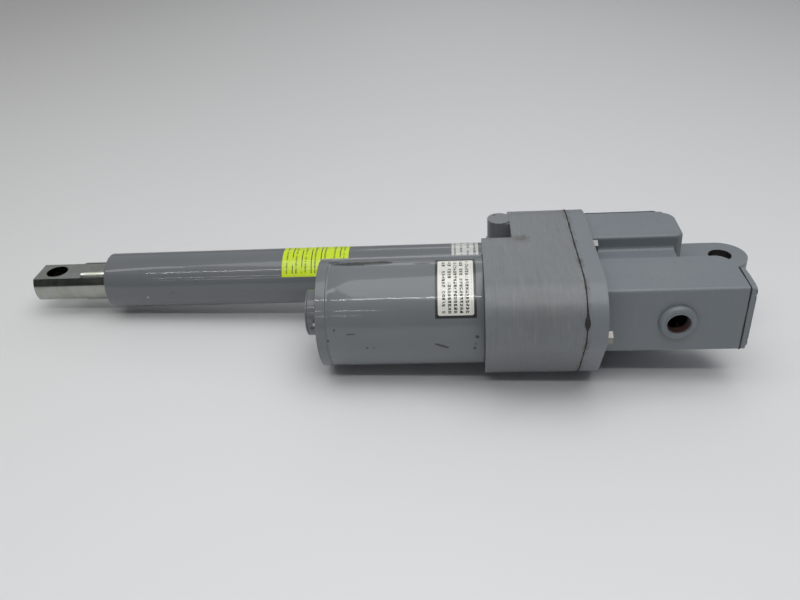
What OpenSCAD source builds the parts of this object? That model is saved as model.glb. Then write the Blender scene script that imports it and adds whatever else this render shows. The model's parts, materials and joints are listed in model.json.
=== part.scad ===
// Electric linear actuator with a side-mounted motor, drawn lying flat with its rod retracted.
// +X runs from the rod end to the rear lug, the motor lies towards -Y, and both pins stand along Z.
// The origin is the centre of the rear pin hole. All sizes are in millimetres.

/* [Mounting] */
// Distance between the two pin holes with the rod fully in
pin_to_pin = 608; // [560:1:760]
// Diameter of both pin holes
pin_hole_d = 19.05; // [12:0.05:26]
// Thickness of the rear lug
lug_thick = 18; // [12:0.5:30]
// Radius of the rounded rear lug
lug_r = 23; // [18:0.5:30]
// Thickness across the flats of the rod end
rod_flat_thick = 22.2; // [16:0.1:28]

/* [Tubes and rod] */
// Outer diameter of the cover tube
tube_d = 50.8; // [44:0.1:60]
// Wall of the cover tube
tube_wall = 3.2; // [2:0.1:5]
// Length of cover tube that shows in front of the gear case
tube_show = 369; // [300:1:520]
// Outer diameter of the sliding extension tube
rod_d = 34.9; // [28:0.1:38]
// Wall of the extension tube
rod_wall = 3.5; // [2.5:0.1:5]
// Travel of the rod
stroke = 254; // [100:1:260]

/* [Lead screw] */
// Major diameter of the lead screw
screw_d = 19.05; // [14:0.05:22]
// Advance of the rod for one screw turn
screw_lead = 5.08; // [2:0.01:12]

/* [Motor] */
// Outer diameter of the motor can
motor_d = 89; // [76:0.5:96]
// Length of the motor from its end bell to the gear case
motor_len = 132.4; // [110:0.1:200]
// Sideways distance from the lead screw to the motor
motor_y = 76; // [72:0.5:90]
// Height of the motor above the lead screw
motor_z = 8; // [0:0.5:16]

/* [Gears] */
// Module of the motor pinion and the large idler gear
module_a = 1.5; // [1:0.25:2]
// Module of the idler pinion, screw gear and limit gear
module_b = 2; // [1.5:0.25:2.5]
// Teeth on the motor pinion
teeth_motor = 12; // [10:1:16]
// Teeth on the large idler gear
teeth_idler = 34; // [30:1:36]
// Teeth on the idler pinion
teeth_idler_pinion = 14; // [12:1:16]
// Teeth on the screw gear
teeth_screw = 30; // [26:1:32]
// Teeth on the limit-switch gear
teeth_limit = 28; // [24:1:30]

/* [Castings] */
// Thickness of the gear case behind its motor face
case_depth = 49; // [44:0.5:56]
// Wall of the gear case
case_wall = 5.5; // [4:0.5:8]
// Thickness of the cover flange
cover_flange = 15; // [12:0.5:20]
// Length of the limit-switch box
box_len = 110; // [80:1:140]
// Length of the rear bearing housing
rear_len = 80; // [70:1:100]

/* [Hidden] */
$fn = 96;
e = 0.01;

// stations along X, from the rear pin forwards
rear_x = -40;
cover_x = rear_x - rear_len;
part_x = cover_x - cover_flange;
gasket_t = 1;
case_x1 = part_x - gasket_t;
case_x0 = case_x1 - case_depth;
motor_x1 = case_x0 - 25;
motor_x0 = motor_x1 - motor_len;
can_x0 = motor_x0 + 8.4;
box_x1 = cover_x + box_len;
tube_x0 = case_x0 - tube_show;
tube_x1 = case_x0 - 5;
eye_x = -pin_to_pin;
rod_tip = eye_x - 17.5;
chamber_x = case_x0 + 7;
recess_x = part_x + 7;

// radii
tube_r = tube_d / 2;
tube_ir = tube_r - tube_wall;
rod_r = rod_d / 2;
rod_ir = rod_r - rod_wall;
screw_r = screw_d / 2;
motor_r = motor_d / 2;
can_ir = motor_r - 3.5;
bolt_r = motor_r - 9.5;
pin_r = pin_hole_d / 2;

// axes seen along +X, as [y, z]
motor_c = [-motor_y, motor_z];
pitch_motor = module_a * teeth_motor / 2;
pitch_idler = module_a * teeth_idler / 2;
pitch_pinion = module_b * teeth_idler_pinion / 2;
pitch_screw = module_b * teeth_screw / 2;
pitch_limit = module_b * teeth_limit / 2;
dist_a = pitch_motor + pitch_idler;
dist_b = pitch_pinion + pitch_screw;
dist_c = pitch_pinion + pitch_limit;
dist_m = norm(motor_c);
to_motor = motor_c / dist_m;
across = [-to_motor[1], to_motor[0]];
along_m = (dist_b * dist_b - dist_a * dist_a + dist_m * dist_m) / (2 * dist_m);
off_m = sqrt(dist_b * dist_b - along_m * along_m);
idler_c = along_m * to_motor + off_m * across;
limit_dir = 154;
limit_c = idler_c + dist_c * [cos(limit_dir), sin(limit_dir)];

// outlines seen along +X, as rows of [y, z, radius] going anticlockwise
case_rows = [[-105, 22, 32], [-76, -1, 45.5], [0, 3, 49.5]];
flange_rows = [[-105, 22, 32], [-76, -1, 45.5], [-44, 37, 17]];
bolt_at = [[-126, 12], [-40, 43.5], [36, 23.6], [36, -17.6], [-38, -38], [-80, -38.5]];

// limit-switch box and rear housing
box_y0 = -102;
box_y1 = -49.5;
box_z0 = -20;
box_z1 = 38;
box_mid = [(box_y0 + box_y1) / 2, (box_z0 + box_z1) / 2];
box_size = [box_y1 - box_y0, box_z1 - box_z0];
corner_r = 20;
end_mid = [(box_y0 + box_y1 - corner_r) / 2, box_mid[1]];
end_size = [box_y1 - corner_r - box_y0, box_size[1]];
end_bolts = [for (a = [-11.25, 11.25], b = [-23.2, 23.2]) end_mid + [a, b]];
rear_y = 24;
rear_z = 43;
side_y = 21;
conduit_x = -60.5;
conduit_z = box_mid[1];

// bearing stack on the rear of the lead screw
stack_x = cover_x - 6;
side_x0 = -118;
side_x1 = -52.5;
side_bolts = [for (x = [side_x0 + 5, side_x1 - 5], z = [-37.5, 37]) [x, z]];

// ---------- helpers ----------

// turns a flat [y, z] shape into a bar from x0 to x1
module bar(x0, x1) {
  translate([x0, 0, 0])
    rotate([90, 0, 90])
      linear_extrude(x1 - x0)
        children();
}

// round bar along X about the point c = [y, z]
module rod_x(x0, x1, r, c = [0, 0]) {
  translate([x0, c[0], c[1]])
    rotate([0, 90, 0])
      cylinder(r = r, h = x1 - x0);
}

// ring along X
module ring_x(x0, x1, r_in, r_out, c = [0, 0]) {
  difference() {
    rod_x(x0, x1, r_out, c);
    rod_x(x0 - 1, x1 + 1, r_in, c);
  }
}

// direction of the outward normal of the tangent from circle a to circle b
function tangent_dir(a, b) =
  atan2(b[1] - a[1], b[0] - a[0]) - acos((a[2] - b[2]) / norm([b[0] - a[0], b[1] - a[1]]));
function on_circle(c, d) = [c[0] + c[2] * cos(d), c[1] + c[2] * sin(d)];
function belt_points(rows) = [
  for (i = [0 : len(rows) - 1])
    let (a = rows[i], b = rows[(i + 1) % len(rows)], d = tangent_dir(a, b))
    for (c = [a, b]) on_circle(c, d)
];

// closed belt around circles listed anticlockwise, shrunk by inset
module belt(rows, inset = 0) {
  small = [for (c = rows) [c[0], c[1], c[2] - inset]];
  polygon(belt_points(small));
  for (c = small)
    translate([c[0], c[1]])
      circle(r = c[2]);
}

// rectangle with rounded corners about its middle
module round_rect(size, r) {
  square([size[0] - 2 * r, size[1]], center = true);
  square([size[0], size[1] - 2 * r], center = true);
  for (a = [-1, 1], b = [-1, 1])
    translate([a * (size[0] / 2 - r), b * (size[1] / 2 - r)])
      circle(r = r);
}

// slice of pie between two directions
module wedge(a0, a1, r) {
  steps = 6;
  polygon(concat([[0, 0]],
    [for (i = [0 : steps]) let (a = a0 + (a1 - a0) * i / steps) [r * cos(a), r * sin(a)]]));
}

// curved plate on a cylinder along X
module arc_plate(x0, x1, r_in, r_out, a0, a1, c = [0, 0]) {
  bar(x0, x1)
    translate(c)
      intersection() {
        difference() {
          circle(r = r_out);
          circle(r = r_in);
        }
        wedge(a0, a1, r_out * 1.3);
      }
}

// involute gear profile, one tooth centred on the first axis
press_angle = 25;
tooth_slack = 0.1;
function inv(a) = tan(a) * 180 / PI - a;
function flank_dir(r, rb, rp, z) =
  90 / z - tooth_slack / rp * 180 / PI + inv(press_angle) - inv(acos(min(1, rb / r)));
function polar(r, a) = [r * cos(a), r * sin(a)];
module gear_2d(m, z, steps = 5) {
  rp = m * z / 2;
  rb = rp * cos(press_angle);
  ra = rp + m;
  rf = rp - 1.25 * m;
  rs = max(rb, rf);
  rise = [for (i = [0 : steps]) rs + (ra - rs) * i / steps];
  polygon([
    for (k = [0 : z - 1])
      let (t = k * 360 / z)
      for (p = concat(
        [polar(rf, t - flank_dir(rs, rb, rp, z) - 0.4)],
        [for (r = rise) polar(r, t - flank_dir(r, rb, rp, z))],
        [for (i = [0 : steps]) let (r = rise[steps - i]) polar(r, t + flank_dir(r, rb, rp, z))],
        [polar(rf, t + flank_dir(rs, rb, rp, z) + 0.4)])) p
  ]);
}

// turn that puts gear b in mesh with gear a, seen along +X
function dir_of(a, b) = atan2(b[1] - a[1], b[0] - a[0]);
function mesh_turn(ca, turn_a, za, cb, zb) =
  let (d = dir_of(ca, cb), pa = (d - turn_a) * za / 360)
  d + 180 - (0.5 - pa) * 360 / zb;
turn_idler = mesh_turn(motor_c, 0, teeth_motor, idler_c, teeth_idler);
turn_screw = mesh_turn(idler_c, 0, teeth_idler_pinion, [0, 0], teeth_screw);
turn_limit = mesh_turn(idler_c, 0, teeth_idler_pinion, limit_c, teeth_limit);

module gear_x(x0, x1, m, z, turn, c, bore) {
  bar(x0, x1)
    translate(c)
      difference() {
        rotate(turn) gear_2d(m, z);
        circle(r = bore);
      }
}

// hexagon-head screw pointing to -X with its head seated at x
module hex_screw_x(x, c, r, len, head_r, head_h) {
  rod_x(x - len, x + e, r, c);
  rod_x(x, x + 1.2, head_r * 1.12, c);
  translate([x + 1.2 - e, c[0], c[1]])
    rotate([0, 90, 0])
      cylinder(r = head_r, h = head_h, $fn = 6);
}

// button-head screw pointing to -X with its head seated at x
module button_screw_x(x, c, r, len, head_r, head_h) {
  difference() {
    union() {
      rod_x(x - len, x + e, r, c);
      rod_x(x, x + head_h, head_r, c);
    }
    translate([x + head_h - 1.5, c[0], c[1]])
      rotate([0, 90, 0])
        cylinder(r = head_r * 0.5, h = 2, $fn = 6);
  }
}

// ball bearing ring pair with balls along X
module ball_bearing(x0, x1, r_in, r_out, c = [0, 0]) {
  mid = (r_in + r_out) / 2;
  ball = (r_out - r_in) * 0.26;
  difference() {
    union() {
      ring_x(x0, x1, r_in, mid - ball * 0.5, c);
      ring_x(x0, x1, mid + ball * 0.5, r_out, c);
    }
    translate([(x0 + x1) / 2, c[0], c[1]])
      rotate([0, 90, 0])
        rotate_extrude()
          translate([mid, 0]) circle(r = ball * 1.02, $fn = 32);
  }
  for (k = [0 : 7])
    translate([(x0 + x1) / 2, c[0] + mid * cos(45 * k), c[1] + mid * sin(45 * k)])
      sphere(r = ball, $fn = 32);
}

// ---------- castings ----------

module gear_case() {
  color([0.50, 0.52, 0.54])
    difference() {
      union() {
        bar(case_x0, case_x1) belt(case_rows);
        bar(motor_x1, case_x0 + e) belt(flange_rows);
        rod_x(case_x0 - 19, case_x0 + e, tube_r + 5.6);
        translate([case_x0 - 8.5, 0, tube_r + 1])
          cylinder(r = 10.25, h = 51 - tube_r);
        translate([case_x0 - 8.5, -9.6, tube_r + 1])
          cube([9.5, 19.2, 49.9 - tube_r]);
      }
      difference() {
        bar(chamber_x, case_x1 + 1) belt(case_rows, case_wall);
        for (b = bolt_at)
          rod_x(chamber_x - 1, case_x1 + 2, 6.5, b);
      }
      difference() {
        bar(motor_x1 + 8, chamber_x + e) belt(flange_rows, case_wall + 1);
        rod_x(motor_x1, chamber_x + 1, 21.5, motor_c);
        rod_x(motor_x1, chamber_x + 1, 13, idler_c);
        rod_x(case_x0 - 20, chamber_x + 1, tube_r + 5.6);
      }
      for (b = bolt_at)
        rod_x(case_x1 - 22, case_x1 + 1, 3.1, b);
      rod_x(motor_x1 - 1, chamber_x + 1, 11, motor_c);
      rod_x(chamber_x - 12, chamber_x + 1, 16.02, motor_c);
      rod_x(chamber_x - 16, chamber_x + 1, 9.02, idler_c);
      rod_x(case_x0 - 20, tube_x1, tube_r + 0.02);
      rod_x(tube_x1 - 1, chamber_x, 13);
      rod_x(chamber_x - 10, chamber_x + 1, 20.02);
      for (s = [-1, 1])
        rod_x(motor_x1 - 1, motor_x1 + 7, 2.6, motor_c + [bolt_r * s, 0]);
    }
}

module case_gasket() {
  color([0.08, 0.08, 0.07])
    difference() {
      bar(case_x1, part_x)
        difference() {
          belt(case_rows, 0.15);
          difference() {
            belt(case_rows, case_wall);
            for (b = bolt_at) translate(b) circle(r = 6.5);
          }
        }
      for (b = bolt_at)
        rod_x(case_x1 - 1, part_x + 1, 3.2, b);
    }
}

// plan of the rear bearing housing
module rear_plan() {
  difference() {
    translate([cover_x - e, -rear_y]) square([rear_len + e, rear_y + side_y]);
    translate([rear_x - 7, -rear_y - 1]) square([8, 8]);
    translate([rear_x - 12, side_y - 12]) square([13, 13]);
  }
  translate([rear_x - 7, -rear_y + 7]) circle(r = 7);
  translate([rear_x - 12, side_y - 12]) circle(r = 12);
}

// what lies outside a round of radius r at the rear corner of the switch box
module box_corner(r) {
  translate([box_x1 - corner_r, box_y1 - corner_r, box_z0 - 1])
    linear_extrude(box_size[1] + 2)
      difference() {
        square([corner_r + 2, corner_r + 2]);
        circle(r = r);
      }
}

module gear_cover() {
  color([0.52, 0.54, 0.56])
    difference() {
      union() {
        bar(part_x, cover_x) belt(case_rows);
        difference() {
          bar(cover_x - e, box_x1) translate(box_mid) round_rect(box_size, 3);
          box_corner(corner_r);
        }
        translate([0, 0, -rear_z]) linear_extrude(2 * rear_z) rear_plan();
        translate([cover_x - e, box_y1 - 1, box_z0 + 6]) cube([72, -rear_y - box_y1 + 2, 44]);
        translate([cover_x - e, -rear_y - 4, 29]) cube([72, 5, 5]);
        translate([rear_x - 4, -lug_r, -lug_thick / 2]) cube([4 - rear_x, 2 * lug_r, lug_thick]);
        translate([0, 0, -lug_thick / 2]) cylinder(r = lug_r, h = lug_thick);
        translate([conduit_x, box_y0, conduit_z])
          rotate([90, 0, 0])
            rotate_extrude() {
              translate([0, -1]) square([10.5, 6.6]);
              translate([0, -1]) square([11, 6]);
              intersection() {
                translate([11, 1.3]) circle(r = 3.7);
                translate([10, -2.5]) square([6, 9]);
              }
            }
      }
      // fillet between the ledge and the rear housing
      translate([cover_x - 1, -rear_y - 4, 34])
        rotate([0, 90, 0]) cylinder(r = 4, h = 80);
      // recess that continues the gear chamber
      difference() {
        bar(part_x - 1, recess_x) belt(case_rows, case_wall);
        for (b = bolt_at)
          rod_x(part_x - 2, recess_x + 1, 6.5, b);
        rod_x(part_x - 2, recess_x + 1, 13, idler_c);
        rod_x(recess_x - 4, recess_x + 1, 9, limit_c);
      }
      for (b = bolt_at)
        rod_x(part_x - 1, cover_x + 1, 3.3, b);
      // seat of the idler bushing
      rod_x(part_x - 1, recess_x + 4, 9.02, idler_c);
      // seat of the limit-screw bushing
      rod_x(recess_x - 5, cover_x + 1, 5.52, limit_c);
      // inside of the limit-switch box
      difference() {
        bar(cover_x, box_x1 + 1)
          translate(box_mid) round_rect([box_size[0] - 8, box_size[1] - 8], 2);
        box_corner(corner_r - 4);
        translate([box_x1 - 4, box_y1 - corner_r - 4, box_z0]) cube([6, 26, box_size[1]]);
        for (b = end_bolts)
          rod_x(box_x1 - 30, box_x1 + 2, 5, b);
      }
      for (b = end_bolts)
        rod_x(box_x1 - 16, box_x1 + 1, 2.1, b);
      rod_x(cover_x - 4, cover_x + 1, 2.02, limit_c + [0, -10.5]);
      for (z = [-6, 6])
        rod_x(cover_x - 6, cover_x + 1, 1.6, [-66, 9 + z]);
      // conduit entry
      translate([conduit_x, box_y0 - 7, conduit_z])
        rotate([-90, 0, 0]) cylinder(r = 8.9, h = 14);
      translate([conduit_x, box_y0 - 5.6 - e, conduit_z])
        rotate([-90, 0, 0]) cylinder(r1 = 9.5, r2 = 8.9, h = 1.2);
      // bearing barrel and the cavity around it
      rod_x(part_x - 1, cover_x + 32, 17.52);
      rod_x(part_x - 1, cover_x + 37, 11);
      difference() {
        translate([cover_x + 12, -rear_y + 5, -32]) cube([38, 2 * rear_y, 64]);
        rod_x(cover_x, cover_x + 36, 20.5);
      }
      rod_x(cover_x + 35, cover_x + 56, 16);
      for (b = side_bolts)
        translate([b[0], side_y - 12, b[1]]) rotate([-90, 0, 0]) cylinder(r = 2.1, h = 14);
      // retainer screws
      for (a = [90, 210, 330])
        rod_x(recess_x - 1, recess_x + 7, 1.6, [21.5 * cos(a), 21.5 * sin(a)]);
      translate([0, 0, -lug_thick])
        cylinder(r = pin_r, h = 2 * lug_thick);
    }
}

module cover_screws() {
  color([0.74, 0.74, 0.72])
    for (b = bolt_at)
      hex_screw_x(cover_x, b, 3, 30, 5.6, 4);
}

// ---------- closing plates ----------

module switch_gasket() {
  color([0.06, 0.06, 0.07])
    difference() {
      bar(box_x1, box_x1 + 1)
        difference() {
          translate(end_mid) round_rect(end_size - [0.4, 0.4], 3);
          difference() {
            translate(end_mid) round_rect(end_size - [8, 8], 2);
            for (b = end_bolts)
              translate(b) circle(r = 5);
          }
        }
      for (b = end_bolts)
        rod_x(box_x1 - 1, box_x1 + 2, 2.2, b);
    }
}

module switch_cover() {
  color([0.52, 0.54, 0.56])
    difference() {
      union() {
        bar(box_x1 + 1, box_x1 + 4.6) translate(end_mid) round_rect(end_size, 3);
        bar(box_x1 + 4.5, box_x1 + 6.4)
          translate(end_mid) round_rect(end_size - [4, 4], 3);
      }
      for (b = end_bolts) {
        rod_x(box_x1 - 1, box_x1 + 7, 2.3, b);
        rod_x(box_x1 + 3.6, box_x1 + 7, 4.4, b);
      }
    }
}

module switch_cover_screws() {
  color([0.74, 0.74, 0.72])
    for (b = end_bolts)
      button_screw_x(box_x1 + 3.6, b, 2, 18, 4, 2.4);
}

module side_plate_2d() {
  translate([(side_x0 + side_x1) / 2, -0.5])
    round_rect([side_x1 - side_x0, 85], 3);
}

module side_gasket() {
  color([0.05, 0.06, 0.09])
    translate([0, side_y + 1, 0])
      rotate([90, 0, 0])
        linear_extrude(1)
          difference() {
            side_plate_2d();
            translate([cover_x + 31, 0]) square([44, 64], center = true);
            for (b = side_bolts)
              translate(b) circle(r = 2.2);
          }
}

module side_cover() {
  color([0.10, 0.11, 0.16])
    translate([0, side_y + 4, 0])
      rotate([90, 0, 0])
        linear_extrude(3)
          difference() {
            side_plate_2d();
            for (b = side_bolts)
              translate(b) circle(r = 2.3);
          }
}

module side_cover_screws() {
  color([0.74, 0.74, 0.72])
    for (b = side_bolts)
      translate([b[0], side_y + 4, b[1]])
        difference() {
          union() {
            translate([0, 0.5, 0]) rotate([90, 0, 0]) cylinder(r = 2, h = 15.5);
            translate([0, 2.4, 0]) rotate([90, 0, 0]) cylinder(r = 4, h = 2.4);
          }
          translate([0, 3, 0]) rotate([90, 0, 0]) cylinder(r = 2, h = 2, $fn = 6);
        }
}

// ---------- cover tube ----------

module cover_tube() {
  color([0.47, 0.50, 0.56])
    difference() {
      rod_x(tube_x0, tube_x1, tube_r);
      rod_x(tube_x0 - 1, tube_x1 + 1, tube_ir);
    }
}

module rod_guide() {
  color([0.70, 0.55, 0.28])
    ring_x(tube_x0 + 6, tube_x0 + 34, rod_r + 0.04, tube_ir);
}

module rod_wiper() {
  color([0.06, 0.06, 0.06])
    difference() {
      ring_x(tube_x0 + 1, tube_x0 + 6, rod_r + 0.06, tube_ir);
      ring_x(tube_x0, tube_x0 + 2.2, rod_r + 1.6, rod_r + 3);
    }
}

module yellow_label() {
  color([0.80, 0.90, 0.15])
    arc_plate(-388, -328, tube_r, tube_r + 0.15, 42, 153);
}

module tube_tag() {
  color([0.82, 0.82, 0.80])
    arc_plate(-235.6, -212, tube_r, tube_r + 0.15, 62, 128);
}

// ---------- motor, fixed parts ----------

module motor_can() {
  color([0.50, 0.52, 0.55])
    ring_x(can_x0, motor_x1, can_ir, motor_r, motor_c);
}

module motor_end_bell() {
  color([0.48, 0.50, 0.53])
    difference() {
      union() {
        rod_x(motor_x0, can_x0, motor_r, motor_c);
        rod_x(can_x0 - e, can_x0 + 3, can_ir - 0.02, motor_c);
        rod_x(motor_x0 - 11.5, motor_x0 + e, 19, motor_c);
        rod_x(can_x0, can_x0 + 5, 16, motor_c);
      }
      difference() {
        rod_x(motor_x0 - 1, motor_x0 + 3.5, 40.5, motor_c);
        rod_x(motor_x0 - 2, motor_x0 + 4, 24, motor_c);
      }
      difference() {
        rod_x(can_x0 - 3, can_x0 + 4, 36, motor_c);
        rod_x(can_x0 - 4, can_x0 + 6, 18.5, motor_c);
        for (s = [-1, 1])
          rod_x(can_x0 - 4, can_x0 + 6, 6, motor_c + [bolt_r * s, 0]);
      }
      rod_x(motor_x0 - 5, can_x0 + 6, 14.02, motor_c);
      rod_x(motor_x0 - 13, motor_x0, 12, motor_c);
      for (s = [-1, 1])
        rod_x(motor_x0 - 2, can_x0 + 6, 2.7, motor_c + [bolt_r * s, 0]);
    }
}

module motor_bearing_cap() {
  color([0.46, 0.48, 0.51])
    difference() {
      union() {
        rod_x(motor_x0 - 13, motor_x0 - 11.5, 19, motor_c);
        rod_x(motor_x0 - 11.5 - e, motor_x0 - 8, 11.98, motor_c);
      }
      rod_x(motor_x0 - 10.5, motor_x0 - 7, 10, motor_c);
    }
}

module motor_magnets() {
  color([0.16, 0.16, 0.18])
    for (a = [25, 205])
      arc_plate(can_x0 + 24, motor_x1 - 35, 33, can_ir, a, a + 130, motor_c);
}

module motor_bolts() {
  color([0.74, 0.74, 0.72])
    for (s = [-1, 1]) {
      rod_x(motor_x0 + 3.5 - e, motor_x1 + 6, 2.5, motor_c + [bolt_r * s, 0]);
      translate([motor_x0 + 0.2, motor_c[0] + bolt_r * s, motor_c[1]])
        rotate([0, 90, 0]) cylinder(r = 4.6, h = 3.3, $fn = 6);
    }
}

module brush_card() {
  color([0.35, 0.22, 0.12])
    difference() {
      ring_x(can_x0 + 5, can_x0 + 7, 15.5, can_ir - 0.1, motor_c);
      for (s = [-1, 1])
        rod_x(can_x0, can_x0 + 8, 3, motor_c + [bolt_r * s, 0]);
    }
}

module brush_boxes() {
  color([0.72, 0.60, 0.30])
    for (s = [0, 180])
      translate([can_x0 + 7, motor_c[0], motor_c[1]])
        rotate([s, 0, 0])
          difference() {
            translate([0, 15.5, -5.5]) cube([9.5, 16, 11]);
            translate([1.4, 14, -4.1]) cube([6.7, 20, 8.2]);
          }
}

module carbon_brushes() {
  color([0.10, 0.10, 0.10])
    for (s = [0, 180])
      translate([can_x0 + 7, motor_c[0], motor_c[1]])
        rotate([s, 0, 0])
          translate([1.5, 13.35, -4]) cube([6.5, 13, 8]);
}

module rating_plate() {
  color([0.85, 0.85, 0.83])
    arc_plate(-248, -216, motor_r, motor_r + 0.2, 85, 156, motor_c);
}

module motor_bearings() {
  color([0.78, 0.78, 0.80]) {
    ball_bearing(chamber_x - 12, chamber_x - 1, 7.5, 16, motor_c);
    ball_bearing(motor_x0 - 5, motor_x0 + 5, 6, 14, motor_c);
  }
}

// ---------- motor rotor ----------

module motor_shaft() {
  color([0.76, 0.76, 0.78]) {
    rod_x(motor_x0 - 5.5, can_x0 + 3, 5.98, motor_c);
    rod_x(can_x0 + 3 - e, chamber_x - 1, 7.48, motor_c);
    rod_x(chamber_x - 1 - e, chamber_x + 18, 6, motor_c);
  }
}

module armature_core() {
  color([0.30, 0.31, 0.33])
    difference() {
      ring_x(can_x0 + 26, motor_x1 - 37, 7.48, 32, motor_c);
      for (k = [0 : 11])
        translate([can_x0 + 25, motor_c[0], motor_c[1]])
          rotate([30 * k + 15, 0, 0])
            translate([0, -2.2, 17]) cube([90, 4.4, 20]);
    }
}

module armature_winding() {
  color([0.62, 0.30, 0.12]) {
    for (k = [0 : 11])
      translate([can_x0 + 25, motor_c[0], motor_c[1]])
        rotate([30 * k + 15, 0, 0])
          translate([0, -2.1, 17.1]) cube([motor_x1 - 62 - can_x0 + 2, 4.2, 14]);
    ring_x(can_x0 + 18, can_x0 + 25.8, 12, 31.4, motor_c);
    ring_x(motor_x1 - 36.8, motor_x1 - 29, 12, 31.4, motor_c);
  }
}

module commutator() {
  color([0.72, 0.42, 0.22])
    difference() {
      ring_x(can_x0 + 6, can_x0 + 17.6, 7.48, 13, motor_c);
      for (k = [0 : 11])
        translate([can_x0 + 5, motor_c[0], motor_c[1]])
          rotate([30 * k, 0, 0])
            translate([0, -0.3, 10]) cube([14, 0.6, 5]);
    }
}

module motor_pinion() {
  color([0.60, 0.60, 0.62])
    gear_x(chamber_x + 3, chamber_x + 17, module_a, teeth_motor, 0, motor_c, 6);
}

// ---------- idler ----------

module idler_bushings() {
  color([0.72, 0.56, 0.28]) {
    ring_x(chamber_x - 16, chamber_x + 1.5, 6.06, 9, idler_c);
    ring_x(part_x - 2, recess_x + 4, 6.06, 9, idler_c);
  }
}

module idler_shaft() {
  color([0.70, 0.70, 0.72])
    rod_x(chamber_x - 15.5, recess_x + 3.5, 6, idler_c);
}

module idler_gear() {
  color([0.58, 0.58, 0.60]) {
    gear_x(chamber_x + 4, chamber_x + 16, module_a, teeth_idler, turn_idler, idler_c, 6);
    ring_x(chamber_x + 2, chamber_x + 4 + e, 6, 12, idler_c);
  }
}

module idler_pinion() {
  color([0.62, 0.62, 0.64])
    gear_x(chamber_x + 16.2, part_x - 3, module_b, teeth_idler_pinion, 0, idler_c, 6);
}

// ---------- lead screw ----------

module lead_screw() {
  color([0.68, 0.68, 0.70])
    difference() {
      union() {
        rod_x(tube_x0 + 39, tube_x1 - 2, screw_r);
        rod_x(tube_x1 - 2 - e, part_x, 10);
        rod_x(part_x - e, cover_x + 50, 8.48);
        rod_x(cover_x + 5, cover_x + 11, 13);
        rod_x(tube_x0 + 32, tube_x0 + 39 + e, 5);
      }
      translate([chamber_x + 19, -2.5, 7]) cube([18, 5, 6]);
    }
}

module screw_stop() {
  color([0.55, 0.56, 0.58])
    difference() {
      ring_x(tube_x0 + 34, tube_x0 + 39 - e, 5, 12.5);
      translate([tube_x0 + 30, -1, -20]) cube([10, 2, 8.5]);
    }
}

module screw_gear() {
  color([0.58, 0.58, 0.60])
    difference() {
      union() {
        gear_x(chamber_x + 20, part_x - 4, module_b, teeth_screw, turn_screw, [0, 0], 10);
        ring_x(chamber_x + 3, chamber_x + 20 + e, 10, 14.6);
      }
      translate([chamber_x + 19, -2.5, 7]) cube([30, 5, 5.5]);
    }
}

module screw_key() {
  color([0.45, 0.45, 0.47])
    translate([chamber_x + 21, -2.48, 7.02]) cube([15, 4.96, 5.4]);
}

module screw_locknut() {
  color([0.50, 0.50, 0.52])
    difference() {
      ring_x(cover_x + 38, cover_x + 46, 8.48, 14);
      for (k = [0 : 3])
        translate([cover_x + 37, 0, 0])
          rotate([90 * k, 0, 0])
            translate([0, -2, 12]) cube([10, 4, 4]);
    }
}

module screw_front_bearing() {
  color([0.78, 0.78, 0.80])
    ball_bearing(chamber_x - 10, chamber_x - 0.5, 10.03, 20);
}

module thrust_bearings() {
  color([0.80, 0.80, 0.82]) {
    ring_x(stack_x, stack_x + 3.2, 9.2, 17.5);
    ring_x(stack_x + 24.8, stack_x + 28, 9.2, 17.5);
    for (x = [stack_x + 5.5, stack_x + 22.5], k = [0 : 11])
      translate([x, 13.2 * cos(30 * k), 13.2 * sin(30 * k)])
        sphere(r = 2.28, $fn = 24);
    ball_bearing(cover_x + 22, cover_x + 32, 8.53, 17.5);
  }
}

module thrust_races() {
  color([0.74, 0.74, 0.77]) {
    ring_x(stack_x + 7.9, stack_x + 11, 8.5, 17);
    ring_x(stack_x + 17, stack_x + 20.1, 8.5, 17);
  }
}

module bearing_retainer() {
  color([0.55, 0.56, 0.58])
    difference() {
      union() {
        ring_x(recess_x - 2.5, recess_x, 10.4, 25);
        ring_x(recess_x - e, stack_x, 10.4, 17.4);
      }
      for (a = [90, 210, 330])
        rod_x(recess_x - 3, recess_x + 1, 1.7, [21.5 * cos(a), 21.5 * sin(a)]);
    }
}

module retainer_screws() {
  color([0.30, 0.30, 0.32])
    for (a = [90, 210, 330])
      let (c = [21.5 * cos(a), 21.5 * sin(a)]) {
        rod_x(recess_x - 2.5 - e, recess_x + 6, 1.5, c);
        rod_x(recess_x - 4.3, recess_x - 2.5, 2.8, c);
      }
}

// ---------- rod ----------

module rod_end() {
  color([0.74, 0.72, 0.62])
    difference() {
      union() {
        rod_x(rod_tip, tube_x0 + 6, rod_r);
        rod_x(tube_x0 + 6 - e, tube_x0 + 27, rod_ir - 0.02);
      }
      for (s = [-1, 1])
        translate([rod_tip - 1, -rod_d, s > 0 ? rod_flat_thick / 2 : -rod_d])
          cube([eye_x - rod_tip + 29, 2 * rod_d, rod_d - rod_flat_thick / 2]);
      translate([eye_x, 0, -rod_d]) cylinder(r = pin_r, h = 2 * rod_d);
      translate([tube_x0 + 16, 0, -rod_d]) cylinder(r = 3.02, h = 2 * rod_d);
    }
}

module rod_pin() {
  color([0.40, 0.40, 0.42])
    translate([tube_x0 + 16, 0, -rod_r + 0.4])
      cylinder(r = 3, h = 2 * rod_r - 0.8);
}

module extension_tube() {
  color([0.74, 0.72, 0.64])
    difference() {
      ring_x(tube_x0 + 6 + e, tube_x1 - 56, rod_ir, rod_r);
      translate([tube_x0 + 16, 0, -rod_d]) cylinder(r = 3.02, h = 2 * rod_d);
    }
}

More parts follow.
